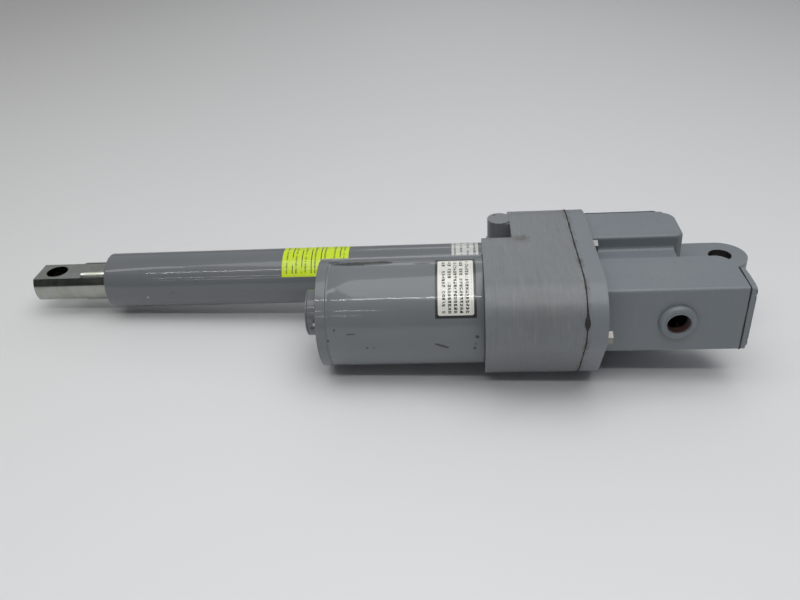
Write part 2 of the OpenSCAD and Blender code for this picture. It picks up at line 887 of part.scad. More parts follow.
module drive_nut() {
  color([0.66, 0.52, 0.28])
    difference() {
      union() {
        rod_x(tube_x1 - 56 + e, tube_x1 - 14, 17.4);
        rod_x(tube_x1 - 68, tube_x1 - 56 + 2 * e, rod_ir - 0.02);
      }
      rod_x(tube_x1 - 69, tube_x1 - 13, screw_r + 0.06);
    }
}

module nut_guide() {
  color([0.88, 0.86, 0.78])
    ring_x(tube_x1 - 48, tube_x1 - 26, 17.42, tube_ir - 0.05);
}

// ---------- limit switch drive ----------

module limit_bushings() {
  color([0.72, 0.56, 0.28]) {
    ring_x(recess_x - 4, cover_x + 1, 3.56, 5.5, limit_c);
    ring_x(box_x1 - 12.5, box_x1 - 8, 3.06, 5, limit_c);
  }
}

module limit_screw() {
  color([0.66, 0.66, 0.68]) {
    rod_x(part_x - 15, cover_x + 6, 3.5, limit_c);
    rod_x(cover_x + 6 - e, box_x1 - 14, 4, limit_c);
    rod_x(box_x1 - 14 - e, box_x1 - 6, 3, limit_c);
  }
}

module limit_gear() {
  color([0.88, 0.87, 0.80]) {
    gear_x(part_x - 13, part_x - 7, module_b, teeth_limit, turn_limit, limit_c, 3.5);
    ring_x(part_x - 7 - e, part_x + 2, 3.5, 8, limit_c);
  }
}

module limit_nut() {
  color([0.85, 0.84, 0.78])
    translate([box_x1 - 24, limit_c[0], limit_c[1]])
      difference() {
        translate([-5, -6, -14]) cube([10, 12, 21]);
        rod_x(-6, 6, 4.06);
        rod_x(-6, 6, 2.06, [0, -10.5]);
      }
}

module limit_guide_rod() {
  color([0.70, 0.70, 0.72])
    rod_x(cover_x - 4, box_x1 - 8, 2, limit_c + [0, -10.5]);
}

module switch_bracket() {
  color([0.70, 0.70, 0.66])
    difference() {
      union() {
        translate([cover_x, -61.5, -10]) cube([box_len - 8, 1.5, 38]);
        translate([cover_x, -71, -4]) cube([1.5, 10, 26]);
        translate([box_x1 - 11, -90, -4]) cube([2, 29, 28]);
      }
      rod_x(box_x1 - 13, box_x1 - 7, 5.02, limit_c);
      rod_x(box_x1 - 13, box_x1 - 7, 2.02, limit_c + [0, -10.5]);
      for (z = [-6, 6])
        rod_x(cover_x - 1, cover_x + 3, 1.7, [-66, 9 + z]);
    }
}

module bracket_screws() {
  color([0.74, 0.74, 0.72])
    for (z = [-6, 6]) {
      rod_x(cover_x - 5, cover_x + 1.5 + e, 1.5, [-66, 9 + z]);
      rod_x(cover_x + 1.5, cover_x + 3.3, 2.8, [-66, 9 + z]);
    }
}

module limit_switches() {
  color([0.12, 0.12, 0.13])
    for (x = [cover_x + 9, box_x1 - 34])
      translate([x, -69.5, 5]) {
        cube([20, 8, 16]);
        translate([8, -5.2, 5]) cube([4, 5.3, 6]);
        for (k = [4, 9, 14])
          translate([k, 3.5, -4]) cube([1, 1, 4.1]);
      }
}

module terminal_strip() {
  color([0.55, 0.53, 0.46])
    difference() {
      union() {
        translate([cover_x + 14, -95.5, -16]) cube([62, 13, 5]);
        for (k = [0 : 6])
          translate([cover_x + 14 + 10 * k, -95.5, -11 - e]) cube([2, 13, 6]);
      }
      for (k = [0 : 5])
        translate([cover_x + 20 + 10 * k, -89, -15]) cylinder(r = 1.6, h = 8, $fn = 32);
    }
}

module terminal_screws() {
  color([0.76, 0.68, 0.42])
    for (k = [0 : 5])
      translate([cover_x + 20 + 10 * k, -89, -15]) {
        cylinder(r = 1.5, h = 5, $fn = 32);
        translate([0, 0, 4]) cylinder(r = 3, h = 2, $fn = 32);
      }
}

gear_case();
gear_cover();
case_gasket();
cover_screws();
switch_gasket();
switch_cover();
switch_cover_screws();
side_gasket();
side_cover();
side_cover_screws();
cover_tube();
rod_guide();
rod_wiper();
yellow_label();
tube_tag();
motor_can();
motor_end_bell();
motor_bearing_cap();
motor_magnets();
motor_bolts();
brush_card();
brush_boxes();
carbon_brushes();
rating_plate();
motor_bearings();
motor_shaft();
armature_core();
armature_winding();
commutator();
motor_pinion();
idler_bushings();
idler_shaft();
idler_gear();
idler_pinion();
lead_screw();
screw_stop();
screw_gear();
screw_key();
screw_locknut();
screw_front_bearing();
thrust_bearings();
thrust_races();
bearing_retainer();
retainer_screws();
rod_end();
rod_pin();
extension_tube();
drive_nut();
nut_guide();
limit_bushings();
limit_screw();
limit_gear();
limit_nut();
limit_guide_rod();
switch_bracket();
bracket_screws();
limit_switches();
terminal_strip();
terminal_screws();
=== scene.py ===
import json
import math
import random

import bmesh
import bpy
from mathutils import Matrix, Vector


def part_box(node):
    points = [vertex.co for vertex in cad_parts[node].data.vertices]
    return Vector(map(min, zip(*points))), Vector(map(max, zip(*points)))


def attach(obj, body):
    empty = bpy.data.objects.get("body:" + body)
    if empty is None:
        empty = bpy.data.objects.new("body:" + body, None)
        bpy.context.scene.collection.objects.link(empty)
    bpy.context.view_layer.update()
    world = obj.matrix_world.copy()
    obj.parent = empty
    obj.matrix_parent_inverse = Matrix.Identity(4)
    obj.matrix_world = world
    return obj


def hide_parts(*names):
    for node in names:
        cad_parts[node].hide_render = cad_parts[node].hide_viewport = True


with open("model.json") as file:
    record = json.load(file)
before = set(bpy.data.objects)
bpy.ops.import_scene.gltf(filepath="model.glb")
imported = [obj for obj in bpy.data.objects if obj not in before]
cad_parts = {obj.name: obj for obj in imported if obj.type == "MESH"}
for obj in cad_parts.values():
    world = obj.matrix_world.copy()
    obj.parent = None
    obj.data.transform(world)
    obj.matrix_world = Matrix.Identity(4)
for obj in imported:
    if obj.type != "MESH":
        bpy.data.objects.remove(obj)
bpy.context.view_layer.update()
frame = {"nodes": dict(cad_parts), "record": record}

MM = 0.001
rng = random.Random(7)
nodes = frame["nodes"]
body_of_node = {n: b for b, group in frame["record"]["behaviour"]["bodies"].items() for n in group}
slot_of_node = {part["node"]: part["material_slot"] for part in frame["record"]["subparts"]}
mounts = {m["name"]: m for m in frame["record"]["mounts"]}


# ---------- places taken from the frame ----------

def middle(node):
    lo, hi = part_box(node)
    return (lo + hi) / 2


def along_x(node):
    """Where a node starts and ends along X."""
    lo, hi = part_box(node)
    return lo.x, hi.x


def axis_yz(node):
    """The y and z of the axis of a round node that lies along X."""
    centre = middle(node)
    return centre.y, centre.z


tube_lo, tube_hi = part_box("cover_tube")
can_lo, can_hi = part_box("motor_can")
bell_lo, bell_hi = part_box("motor_end_bell")
case_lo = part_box("gear_case")[0]
TUBE_AXIS = axis_yz("cover_tube")
TUBE_R = (tube_hi.z - tube_lo.z) / 2
MOTOR_AXIS = axis_yz("motor_can")
MOTOR_R = (can_hi.z - can_lo.z) / 2
SEAM_X = middle("case_gasket").x


# ---------- material helpers ----------

finish = {}  # every material, by the name that it is made under


class Paint:
    """A node material under construction. Coordinates are metres in the frame, so detail has a real scale."""

    def __init__(self, name):
        self.mat = bpy.data.materials.new(name)
        finish[name] = self.mat
        self.mat.use_nodes = True
        self.tree = self.mat.node_tree
        self.shader = self.tree.nodes["Principled BSDF"]
        self.place = self.tree.nodes.new("ShaderNodeTexCoord").outputs["Object"]

    def plug(self, socket, value):
        """Links a socket to another one or gives it a constant; None leaves it as it is."""
        if isinstance(value, bpy.types.NodeSocket):
            self.tree.links.new(value, socket)
        elif value is not None:
            socket.default_value = value

    def math(self, operation, a, b=None):
        n = self.tree.nodes.new("ShaderNodeMath")
        n.operation = operation
        self.plug(n.inputs[0], a)
        self.plug(n.inputs[1], b)
        return n.outputs[0]

    def times(self, a, b):
        return self.math("MULTIPLY", a, b)

    def gap(self, a, b):
        """How far a is from b, without the sign."""
        return self.math("ABSOLUTE", self.math("SUBTRACT", a, b))

    def xyz(self):
        n = self.tree.nodes.new("ShaderNodeSeparateXYZ")
        self.plug(n.inputs[0], self.place)
        return n.outputs[0], n.outputs[1], n.outputs[2]

    def stretch(self, sx, sy, sz):
        """The place scaled by its own factor along each axis, for noise that runs in one direction."""
        n = self.tree.nodes.new("ShaderNodeMapping")
        self.plug(n.inputs["Vector"], self.place)
        n.inputs["Scale"].default_value = (sx, sy, sz)
        return n.outputs[0]

    def joined(self, x, y, z=0.0):
        n = self.tree.nodes.new("ShaderNodeCombineXYZ")
        for i, value in enumerate((x, y, z)):
            self.plug(n.inputs[i], value)
        return n.outputs[0]

    def noise(self, where, scale, detail, rough=0.55, distort=0.0):
        """Fractal noise about 0.5. On the bare place `scale` counts its lumps in a metre."""
        n = self.tree.nodes.new("ShaderNodeTexNoise")
        self.plug(n.inputs["Vector"], where)
        n.inputs["Scale"].default_value = scale
        n.inputs["Detail"].default_value = detail
        n.inputs["Roughness"].default_value = rough
        n.inputs["Distortion"].default_value = distort
        return n.outputs["Fac"]

    def band(self, value, low, high, out_low=0.0, out_high=1.0):
        """Eases from out_low to out_high as the value goes from low to high."""
        n = self.tree.nodes.new("ShaderNodeMapRange")
        n.interpolation_type = "SMOOTHSTEP"
        self.plug(n.inputs["Value"], value)
        for name, v in (("From Min", low), ("From Max", high), ("To Min", out_low), ("To Max", out_high)):
            n.inputs[name].default_value = v
        return n.outputs["Result"]

    def mix(self, share, a, b):
        """Colour a where the share is 0 and colour b where it is 1."""
        n = self.tree.nodes.new("ShaderNodeMix")
        n.data_type = "RGBA"
        self.plug(n.inputs["Factor"], share)
        self.plug(n.inputs["A"], a)
        self.plug(n.inputs["B"], b)
        return n.outputs["Result"]

    def spot(self, place, size, turn, ragged, scale=500, soft=0.3):
        """1 inside an uneven ellipsoid about a point of the frame, 0 outside it.
        `size` holds its half sizes and `turn` turns it about Y, in degrees."""
        n = self.tree.nodes.new("ShaderNodeMapping")
        n.vector_type = "TEXTURE"
        self.plug(n.inputs["Vector"], self.place)
        n.inputs["Location"].default_value = place
        n.inputs["Rotation"].default_value = (0, math.radians(turn), 0)
        n.inputs["Scale"].default_value = size
        far = self.tree.nodes.new("ShaderNodeVectorMath")
        far.operation = "LENGTH"
        self.plug(far.inputs[0], n.outputs[0])
        uneven = self.math("SUBTRACT", self.noise(self.place, scale, 3, 0.6), 0.5)
        wobble = self.times(uneven, 2 * ragged)
        return self.band(self.math("ADD", far.outputs["Value"], wobble), 1 - soft, 1.0, 1.0, 0.0)

    def dice(self, x, y):
        """A random number for each whole-number pair."""
        n = self.tree.nodes.new("ShaderNodeTexWhiteNoise")
        n.noise_dimensions = "2D"
        self.plug(n.inputs["Vector"], self.joined(x, y))
        return n.outputs["Value"]

    def bump(self, height, distance, strength=1.0, below=None):
        """A normal for relief of that distance in metres, over the relief `below` if there is one."""
        n = self.tree.nodes.new("ShaderNodeBump")
        self.plug(n.inputs["Height"], height)
        n.inputs["Distance"].default_value = distance
        n.inputs["Strength"].default_value = strength
        self.plug(n.inputs["Normal"], below)
        return n.outputs["Normal"]

    def done(self, colour, rough, metal, normal, **fixed):
        """Joins everything to the shader. `fixed` names more of its sockets, with _ for a space."""
        self.plug(self.shader.inputs["Base Color"], colour)
        self.plug(self.shader.inputs["Roughness"], rough)
        self.plug(self.shader.inputs["Metallic"], metal)
        self.plug(self.shader.inputs["Normal"], normal)
        for name, value in fixed.items():
            self.shader.inputs[name.replace("_", " ")].default_value = value


def rgb(r, g, b):
    return (r, g, b, 1.0)


def shade(colour, *gains):
    """A colour with a gain for each channel, or with one gain for all three."""
    if len(gains) == 1:
        gains = gains * 3
    return rgb(*(c * gain for c, gain in zip(colour, gains)))


STAIN_BROWN = rgb(0.070, 0.052, 0.036)
SEALANT_BROWN = rgb(0.085, 0.068, 0.048)
# Painted shade: near-black colours for the insides of the pivot bore and the rod eye, darker than their lit
# walls.
BORE_SHADE = rgb(0.016, 0.013, 0.011)
PIN_HOLE_SHADE = rgb(0.020, 0.022, 0.020)
ENAMEL_RELIEF = 0.20 * MM
ORANGE_PEEL = 0.05 * MM
SEALANT_REACH = (1.2 * MM, 4.2 * MM)
CHIP_DEPTH = 0.5
SHARP_COAT = 0.1  # a clear coat smoother than this lies level over the relief of the paint


def turning_lines(p, base, height, colour, strength):
    """Lines left by turning, which run round X: light and dark cuts, and browner bands soaked with oil."""
    fine = p.noise(p.stretch(1300, 16, 16), 1.0, 2, 0.6)
    cuts = p.math("ADD", fine, p.noise(p.stretch(620, 60, 60), 1.0, 3, 0.7))
    base = p.mix(p.band(cuts, 1.02, 1.35, 0.0, strength), base, shade(colour, 1.5, 1.48, 1.42))
    base = p.mix(p.band(cuts, 0.68, 0.96, strength, 0.0), base, shade(colour, 0.62))
    oily = p.band(p.noise(p.stretch(70, 22, 22), 1.0, 5, 0.7), 0.52, 0.72, 0.0, 0.55 * strength)
    base = p.mix(oily, base, shade(colour, 0.95, 0.87, 0.74))
    return base, p.math("ADD", height, p.times(cuts, 1.4 * strength))


def sealant_stain(p, base, seam):
    """Brown sealant smeared in patches to both sides of the parting line at x = seam."""
    near = p.band(p.gap(p.xyz()[0], seam), *SEALANT_REACH, 1.0, 0.0)
    patches = p.band(p.noise(p.place, 70, 5, 0.7), 0.42, 0.68, 0.0, 0.75)
    return p.mix(p.times(near, patches), base, SEALANT_BROWN)


def painted(name, colour, turned=0.0, marks=(), stains_and_shade=(), rough=0.42, coat=1.0, coat_rough=0.06, cast=0.3,
            worn=0.0, seam=None, shaded_bores=()):
    """Grey machine enamel with a slow drift of colour, orange peel, specks and grime.
    Over that comes what a piece asks for: turning lines, stains, sealant, chips, bare edges, painted shade in
    bores."""
    p = Paint(name)
    skin = p.noise(p.place, 330, 3, 0.5)
    drift = p.band(p.noise(p.place, 11, 3), 0.3, 0.7)
    base = p.mix(drift, shade(colour, 0.95, 0.96, 0.97), shade(colour, 1.05, 1.04, 1.03))
    height = p.times(skin, cast)
    if turned:
        base, height = turning_lines(p, base, height, colour, turned)
    specks = p.band(p.noise(p.place, 800, 4, 0.6), 0.66, 0.8, 0.0, 0.25)
    base = p.mix(specks, base, shade(colour, 0.5))
    grime = p.band(p.noise(p.place, 40, 6, 0.7, 0.4), 0.56, 0.80, 0.0, 0.14)
    base = p.mix(grime, base, shade(colour, 0.8, 0.74, 0.64))
    for place, size, turn, strength in stains_and_shade:
        cloudy = p.spot(place, size, turn, ragged=0.8, scale=160, soft=0.9)
        base = p.mix(p.times(cloudy, strength), base, STAIN_BROWN)
    if seam is not None:
        base = sealant_stain(p, base, seam)
    for place, size, turn, tone in marks:
        mark = p.spot(place, size, turn, ragged=0.5)
        base = p.mix(mark, base, rgb(tone, tone * 1.03, tone * 1.06))
        height = p.math("SUBTRACT", height, p.times(mark, CHIP_DEPTH))
    if worn:
        bare = p.band(p.noise(p.place, 260, 6, 0.75), 0.62 - 0.1 * worn, 0.70, 0.0, worn)
        base = p.mix(bare, base, shade(colour, 1.7, 1.7, 1.65))
    # Painted shade: the inside of each bore is darkened almost to black.
    for place, size in shaded_bores:
        inside = p.spot(place, size, 0, ragged=0.0, scale=300, soft=0.05)
        base = p.mix(p.times(inside, 0.94), base, BORE_SHADE)
    shine = p.math("ADD", p.band(skin, 0.2, 0.8, rough - 0.05, rough + 0.07), grime)
    normal = p.bump(height, ENAMEL_RELIEF, 0.5)
    under_coat = None if coat_rough < SHARP_COAT else normal
    gloss = p.bump(p.noise(p.place, 300, 2, 0.5), ORANGE_PEEL, 1.0, under_coat)
    p.plug(p.shader.inputs["Coat Normal"], gloss)
    p.done(base, shine, 0.0, normal, Coat_Weight=coat, Coat_Roughness=coat_rough, IOR=1.45)


def metal(name, colour, rough=0.28, scratch=(40, 900, 900), tint=None, tint_share=0.0, dirt=0.2,
          depth=0.06 * MM, stains_and_shade=()):
    """Bare or plated metal with fine scratches along one direction, patches of tarnish and dark pits, and
    painted shade inside its holes.
    """
    p = Paint(name)
    lines = p.noise(p.stretch(*scratch), 1.0, 6, 0.7)
    cloud = p.noise(p.place, 60, 4, 0.6, 0.3)
    pits = p.band(p.noise(p.place, 1100, 3, 0.5), 0.68, 0.8)
    base = p.mix(p.band(lines, 0.3, 0.7), shade(colour, 0.86), shade(colour, 1.08))
    if tint:
        base = p.mix(p.times(p.band(cloud, 0.38, 0.66), tint_share), base, rgb(*tint))
    base = p.mix(p.times(pits, dirt), base, shade(colour, 0.25, 0.22, 0.18))
    # Painted shade: the inside of each hole is darkened almost to black.
    for place, size in stains_and_shade:
        inside = p.spot(place, size, 0, ragged=0.1, scale=300, soft=0.1)
        base = p.mix(p.times(inside, 0.95), base, PIN_HOLE_SHADE)
    shine = p.math("ADD", p.band(lines, 0.25, 0.75, rough - 0.05, rough + 0.07),
                   p.band(cloud, 0.35, 0.75, 0.0, 0.10))
    p.done(base, shine, 1.0, p.bump(lines, depth, 0.5))


def plain(name, colour, rough=0.5, grain=500, spread=0.12, depth=0.08 * MM, metallic=0.0, coat=0.0):
    """Moulded or pressed stuff: mottled colour, uneven gloss and a fine surface grain."""
    p = Paint(name)
    mottle = p.noise(p.place, 45, 5, 0.65)
    fine = p.noise(p.place, grain, 5, 0.65)
    base = p.mix(p.band(mottle, 0.3, 0.7), shade(colour, 1 - spread), shade(colour, 1 + spread))
    base = p.mix(p.times(p.band(fine, 0.6, 0.78), 0.3), base, shade(colour, 0.6))
    p.done(base, p.band(fine, 0.25, 0.75, rough - 0.08, rough + 0.08), metallic, p.bump(fine, depth, 0.6),
           Coat_Weight=coat, Coat_Roughness=0.2)


def around(p, axis):
    """Distance along X and angle round an axis parallel to X, in degrees from +Y towards +Z."""
    x, y, z = p.xyz()
    turn = p.math("ARCTAN2", p.math("SUBTRACT", z, axis[1]), p.math("SUBTRACT", y, axis[0]))
    return x, p.times(turn, 180 / math.pi)


LABEL_EDGE = 0.15 * MM
LABEL_CORNER = 1.6 * MM
TEXT_CORNER = 0.5 * MM
LETTER_CELLS = (4, 5)
LETTER_SHARE = 0.75
EMPTY_CELLS = 0.24
RULE_AT = 0.12


def rounded(p, u, v, width, height, inset, radius):
    """1 inside a rounded rectangle on a label of that real width and height, 0 outside it."""
    over = []
    for value, size in ((u, width), (v, height)):
        off = p.times(p.math("SUBTRACT", value, 0.5), size)
        beyond = p.math("SUBTRACT", p.math("ABSOLUTE", off), size / 2 - inset - radius)
        over.append(p.math("MAXIMUM", beyond, 0.0))
    away = p.math("SQRT", p.math("ADD", p.math("POWER", over[0], 2.0), p.math("POWER", over[1], 2.0)))
    return p.band(away, radius - LABEL_EDGE, radius + LABEL_EDGE, 1.0, 0.0)


def letters(p, u, v, height, rows, line, letter, rules):
    """Rows of random blocks that stand in for printing: 1 where there is ink. `line` is the share of a row
    that its letters fill, from and to, and `rules` is the half width of a ruled line, in rows.
    The odd factors on `number` only keep the random draws of the rows apart."""
    row = p.times(u, rows)
    part, number = p.math("FRACT", row), p.math("FLOOR", row)
    within = p.math("DIVIDE", p.math("SUBTRACT", part, line[0]), line[1] - line[0])
    body = p.times(p.math("GREATER_THAN", within, 0.0), p.math("LESS_THAN", within, 1.0))
    place = p.times(v, height / letter)
    across, up = LETTER_CELLS
    cell = p.math("ADD", p.math("FLOOR", p.times(within, up)), p.times(number, 17.0))
    filled = p.math("GREATER_THAN", p.dice(p.math("FLOOR", p.times(place, across)), cell), EMPTY_CELLS)
    strokes = p.times(filled, p.math("LESS_THAN", p.math("FRACT", place), LETTER_SHARE))
    words = p.noise(p.joined(p.times(p.math("FLOOR", place), 0.37), p.times(number, 7.3)), 1.0, 1)
    ink = p.times(p.times(body, strokes), p.band(words, 0.38, 0.42))
    if rules:
        ruled = p.math("LESS_THAN", p.gap(part, RULE_AT), rules)
        some = p.noise(p.joined(p.times(number, 3.1), p.times(v, 2.0)), 1.0, 0)
        ink = p.math("MAXIMUM", ink, p.times(ruled, p.band(some, 0.42, 0.46)))
    return ink


def printed(name, paper, ink, ends, turns, radius, axis, rows, line, letter, inset, border=0.0, foil=0.0,
            rules=0.0):
    """A label round a tube, between two ends along X and two angles. Its rows are stacked along X."""
    p = Paint(name)
    x, turn = around(p, axis)
    width, height = ends[1] - ends[0], math.radians(turns[1] - turns[0]) * radius
    u = p.math("DIVIDE", p.math("SUBTRACT", x, ends[0]), width)
    v = p.math("DIVIDE", p.math("SUBTRACT", turn, turns[0]), turns[1] - turns[0])
    text = letters(p, u, v, height, rows, line, letter, rules)
    text = p.times(text, rounded(p, u, v, width, height, inset, TEXT_CORNER))
    fade = p.noise(p.place, 160, 6, 0.7)
    text = p.times(text, p.band(fade, 0.3, 0.5, 0.8, 1.0))
    if border:
        sheet = rounded(p, u, v, width, height, border, LABEL_CORNER)
        text = p.math("MAXIMUM", text, p.math("SUBTRACT", 1.0, sheet))
    ground = p.mix(p.band(fade, 0.3, 0.75), rgb(*paper), shade(paper, 0.9, 0.9, 0.86))
    flecks = p.band(p.noise(p.place, 1200, 3), 0.66, 0.74, 0.0, 0.4)
    ground = p.mix(flecks, ground, shade(paper, 0.5, 0.5, 0.48))
    colour = p.mix(p.times(text, 0.97), ground, rgb(*ink))
    metallic = p.times(p.math("SUBTRACT", 1.0, text), foil)
    p.done(colour, p.band(fade, 0.25, 0.75, 0.30, 0.44), metallic, p.bump(fade, 0.05 * MM, 0.4),
           Coat_Weight=0.5, Coat_Roughness=0.06)


# ---------- the finish of each material slot ----------

# Marks are (place, half sizes, turn, tone) and stains are (place, half sizes, turn, strength).
# They sit where the photo shows chips, scrapes, oil and dirt on the paint. Metres and degrees.
# On the tube: two chips and a scrape near its nose.
TUBE_MARKS = [((-0.515, -0.0249, -0.0048), (0.0011, 0.0011, 0.0016), 0, 0.45),
              ((-0.4906, -0.0254, 0.0002), (0.0035, 0.002, 0.0008), -8, 0.11),
              ((-0.2352, -0.0054, 0.0248), (0.0012, 0.0014, 0.001), 0, 0.40)]
# On the motor: the slanted scrape, chips at both ends, then the long dark scrape along the top.
MOTOR_MARKS = [((-0.2444, -0.1203, 0.0031), (0.0056, 0.0018, 0.0014), 22, 0.022),
               ((-0.2400, -0.1200, 0.0012), (0.0022, 0.0018, 0.0012), 10, 0.022),
               ((-0.2159, -0.1204, 0.0109), (0.0020, 0.0016, 0.0016), 0, 0.03),
               ((-0.2180, -0.1197, -0.0003), (0.0014, 0.0016, 0.0020), 0, 0.03),
               ((-0.2172, -0.1200, 0.0042), (0.0010, 0.0016, 0.0012), 0, 0.04),
               ((-0.3273, -0.1191, 0.0191), (0.0008, 0.0016, 0.0020), 20, 0.05),
               ((-0.3145, -0.1199, 0.0152), (0.0048, 0.0016, 0.0007), -6, 0.06),
               ((-0.3329, -0.1205, 0.0097), (0.0012, 0.0016, 0.0014), 0, 0.04),
               ((-0.3028, -0.1201, 0.0020), (0.0013, 0.0016, 0.0016), 20, 0.06),
               ((-0.2972, -0.1201, 0.0018), (0.0008, 0.0016, 0.0010), 0, 0.07),
               ((-0.3080, -0.0745, 0.0525), (0.0265, 0.0036, 0.0030), 0, 0.022),
               ((-0.2920, -0.0738, 0.0525), (0.0125, 0.0034, 0.0030), 0, 0.026),
               ((-0.3300, -0.0712, 0.0523), (0.0055, 0.0016, 0.0025), 0, 0.05),
               ((-0.2590, -0.0768, 0.0525), (0.0080, 0.0016, 0.0025), 0, 0.06)]
# On the gear case: a broad brown haze at the front, an oil stain and its core, and a plugged hole on top.
CASE_STAINS = [((-0.168, -0.131, 0.036), (0.050, 0.026, 0.026), 0, 0.13),
               ((-0.1765, -0.040, 0.0505), (0.012, 0.009, 0.010), 0, 0.55),
               ((-0.1745, -0.036, 0.0505), (0.004, 0.005, 0.006), 0, 0.7),
               ((-0.1975, 0.0067, 0.052), (0.0022, 0.0022, 0.003), 0, 0.95)]
# On the bearing boss of the end bell: a dark flake, a scuff and the bright metal that shows in the flake.
BELL_MARKS = [((-0.3472, -0.0948, 0.0088), (0.0026, 0.0024, 0.0056), 0, 0.022),
              ((-0.3500, -0.0945, 0.0045), (0.0026, 0.0024, 0.0018), 0, 0.050),
              ((-0.3482, -0.0949, 0.0082), (0.0014, 0.0022, 0.0022), 0, 0.70)]


def hole(mount_name, past_wall, half_length):
    """The inside of a pin hole along Z, as painted shade that reaches a little past its wall."""
    mount = mounts[mount_name]
    reach = mount["dims"]["r_mm"] * MM + past_wall
    return tuple(mount["pos_m"]), (reach, reach, half_length)


# painted: name, colour, depth of the turning lines, marks.
# plain: name, colour, roughness, scale of the grain, spread of the colour, depth of the grain.
# metal: name, colour, roughness, scratch scale along X, Y and Z, tarnish colour, its share, dirt, depth,
# painted shade inside holes.
# printed: name, paper, ink, ends along X, angles that it starts and ends at.
# Painted shade inside the rear pivot bore and the rod eye.
PIVOT_BORE_SHADE = [hole("rear_pivot", 0.7 * MM, 200 * MM)]
ROD_EYE_SHADE = [hole("rod_eye", 0.9 * MM, 60 * MM)]

painted("cast_grey", (0.198, 0.211, 0.220), 0.34, stains_and_shade=CASE_STAINS, rough=0.46,
        coat=0.25, coat_rough=0.34, cast=0.9, seam=SEAM_X)
painted("cover_grey", (0.196, 0.218, 0.238), 0.10, rough=0.44, coat=0.3, coat_rough=0.32,
        cast=0.9, seam=SEAM_X, shaded_bores=PIVOT_BORE_SHADE)
painted("motor_grey", (0.168, 0.184, 0.196), 0.03, MOTOR_MARKS, coat=0.7)
painted("bell_grey", (0.158, 0.173, 0.184), 0.04, BELL_MARKS, coat=0.6, coat_rough=0.08)
painted("tube_grey", (0.142, 0.154, 0.166), 0.0, TUBE_MARKS, coat=0.75)
painted("edge_grey", (0.235, 0.252, 0.258), rough=0.42, coat=0.5, coat_rough=0.15, cast=0.6, worn=0.35)
plain("gasket_black", (0.018, 0.018, 0.017), rough=0.62, grain=800, depth=0.2 * MM)
plain("side_dark", (0.030, 0.034, 0.052), rough=0.38, grain=400, coat=0.3)
metal("zinc_screw", (0.21, 0.21, 0.205), 0.34, (700, 700, 700), (0.40, 0.37, 0.30), 0.4)
metal("plated_rod", (0.41, 0.43, 0.405), 0.12, (900, 60, 60), (0.30, 0.31, 0.22), 0.45,
      0.3, 0.03 * MM, ROD_EYE_SHADE)
plain("thread_rust", (0.070, 0.030, 0.024), 0.5, 900, 0.25, 0.1 * MM)
metal("bronze", (0.58, 0.38, 0.16), 0.34, (600, 40, 40), (0.30, 0.17, 0.08), 0.4)
printed("label_yellow", (0.70, 0.90, 0.004), (0.035, 0.045, 0.02), along_x("yellow_label"), (42, 153),
        TUBE_R, TUBE_AXIS, rows=7, line=(0.42, 0.60), letter=1.2 * MM, inset=3.0 * MM, rules=0.05)
printed("label_silver", (0.86, 0.85, 0.79), (0.008, 0.010, 0.011), along_x("rating_plate"), (85, 156),
        MOTOR_R, MOTOR_AXIS, rows=7, line=(0.18, 0.74), letter=2.6 * MM, inset=3.6 * MM, border=2.1 * MM,
        foil=0.12)
printed("tag_white", (0.66, 0.67, 0.65), (0.03, 0.035, 0.04), along_x("tube_tag"), (62, 128),
        TUBE_R, TUBE_AXIS, rows=4, line=(0.25, 0.60), letter=1.8 * MM, inset=2.0 * MM)
plain("magnet_dark", (0.030, 0.030, 0.034), 0.55, 900, 0.15)
plain("card_brown", (0.145, 0.070, 0.030), 0.55, 300, 0.18)
metal("brass_part", (0.72, 0.52, 0.20), 0.30, (500, 60, 500), (0.40, 0.25, 0.10), 0.4)
plain("carbon", (0.020, 0.020, 0.021), 0.5, 1300, 0.2, metallic=0.2)
metal("bearing_steel", (0.66, 0.66, 0.67), 0.16, (700, 60, 60))
metal("steel_bright", (0.60, 0.60, 0.60), 0.22, (900, 40, 40), (0.45, 0.40, 0.32), 0.3)
metal("steel_dark", (0.22, 0.21, 0.21), 0.38, (500, 80, 80), (0.12, 0.09, 0.07), 0.5)
metal("lamination", (0.26, 0.26, 0.27), 0.40, (2600, 20, 20), (0.16, 0.12, 0.10), 0.4)
metal("copper", (0.66, 0.27, 0.10), 0.32, (60, 1600, 1600), (0.30, 0.10, 0.05), 0.5)
metal("gear_steel", (0.42, 0.42, 0.43), 0.30, (60, 700, 700), (0.28, 0.20, 0.10), 0.35)
plain("acetal", (0.66, 0.65, 0.60), 0.36, 500, 0.05)
metal("bracket_zinc", (0.56, 0.57, 0.58), 0.36, (300, 300, 60), (0.42, 0.42, 0.40), 0.4)
plain("switch_black", (0.022, 0.022, 0.024), 0.42, 700, 0.12)
plain("strip_tan", (0.36, 0.25, 0.13), 0.45, 500, 0.12)


def dress(obj, *names):
    obj.data.materials.clear()
    for n in names:
        obj.data.materials.append(finish[n])


for name, obj in nodes.items():
    dress(obj, "tag_white" if name == "tube_tag" else slot_of_node[name])


# ---------- mesh helpers ----------

def placed(name, bm, body, slot, *looks, sharp=35.0, replaces=()):
    """Turns a bmesh in frame coordinates into a piece that rides on a body."""
    mesh = bpy.data.meshes.new(name)
    bm.to_mesh(mesh)
    bm.free()
    obj = bpy.data.objects.new(name, mesh)
    bpy.context.scene.collection.objects.link(obj)
    dress(obj, *(looks or (slot,)))
    mesh.shade_smooth()
    mesh.set_sharp_from_angle(angle=math.radians(sharp))
    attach(obj, body)
    for n in replaces:
        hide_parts(n)
    return obj


def flatten_modifiers(obj):
    """Turns the shape that the modifiers give into the mesh itself."""
    graph = bpy.context.evaluated_depsgraph_get()
    mesh = bpy.data.meshes.new_from_object(obj.evaluated_get(graph))
    obj.modifiers.clear()
    obj.data = mesh


SAME_POINT = 0.002 * MM
FLAT_ANGLE = math.radians(0.4)
CORNER_ANGLE = math.radians(28.0)


